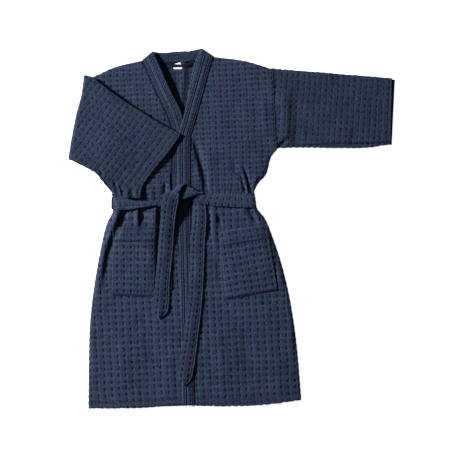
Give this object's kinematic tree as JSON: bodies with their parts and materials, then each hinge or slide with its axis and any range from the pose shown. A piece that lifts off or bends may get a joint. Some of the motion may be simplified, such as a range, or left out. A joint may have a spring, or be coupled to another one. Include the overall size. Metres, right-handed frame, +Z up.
{
  "type": "bathrobe",
  "caption": "Kimono-style waffle cotton bathrobe laid flat: crossed fronts, patch pockets, knotted tie belt, wide sleeves, one folded over the chest.",
  "frame": {"origin": "on the robe's centre line at the level of the belt, on the underside of the back panel, where the robe lies on a surface", "axes": "+Z up, out of the robe's front; +Y along the centre line from the belt to the collar; +X to the wearer's left"},
  "size_m": [1.007, 1.094, 0.0326],
  "materials": {
    "waffle_cotton": "deep honeycomb waffle weave, matt",
    "band_cotton": "waffle weave pressed flat, rows of topstitching",
    "belt_cotton": "waffle weave, folded and stitched",
    "tape_cotton": "plain woven tape",
    "label_cloth": "white satin ribbon, blank"
  },
  "bodies": {
    "torso": {"back_panel": "waffle_cotton", "front_panel_right": "waffle_cotton", "front_panel_left": "waffle_cotton", "front_band_right": "band_cotton", "front_band_left": "band_cotton", "neck_band": "band_cotton", "sleeve_right_head": "waffle_cotton", "pocket_right": "waffle_cotton", "pocket_left": "waffle_cotton", "belt_back": "belt_cotton", "belt_side_left": "belt_cotton", "belt_side_right": "belt_cotton", "belt_front_left": "belt_cotton", "belt_front_right": "belt_cotton", "belt_knot": "belt_cotton", "belt_loop_left": "tape_cotton", "belt_loop_right": "tape_cotton", "neck_label": "label_cloth"},
    "sleeve_left": {"sleeve_left": "waffle_cotton"},
    "sleeve_right": {"sleeve_right": "waffle_cotton"},
    "tail_left": {"belt_tail_left": "belt_cotton"},
    "tail_right": {"belt_tail_right": "belt_cotton"},
    "hanging_loop": {"hanging_loop": "tape_cotton"},
    "inner_tie": {"inner_tie": "tape_cotton"}
  },
  "joints": [
    {"name": "sleeve_right_unfold", "type": "hinge", "parent": "torso", "child": "sleeve_right", "pos_m": [-0.3255, 0.266, 0.0141], "axis": [-0.2052, -0.9787, 0], "range_deg": [0, 178]},
    {"name": "sleeve_left_fold", "type": "hinge", "parent": "torso", "child": "sleeve_left", "pos_m": [0.2926, 0.265, 0.015], "axis": [0, -1, 0], "range_deg": [0, 174]},
    {"name": "tail_left_lift", "type": "hinge", "parent": "torso", "child": "tail_left", "pos_m": [0.043, -0.023, 0.0189], "axis": [-1, 0, 0], "range_deg": [0, 130]},
    {"name": "tail_right_lift", "type": "hinge", "parent": "torso", "child": "tail_right", "pos_m": [-0.048, -0.023, 0.0165], "axis": [-1, 0, 0], "range_deg": [0, 130]},
    {"name": "hanging_loop_flip", "type": "hinge", "parent": "torso", "child": "hanging_loop", "pos_m": [0, 0.4225, 0.01], "axis": [-1, 0, 0], "range_deg": [0, 150]},
    {"name": "inner_tie_swing", "type": "hinge", "parent": "torso", "child": "inner_tie", "pos_m": [-0.05, -0.03, 0.0125], "axis": [0, 0, 1], "range_deg": [-8, 4]}
  ]
}
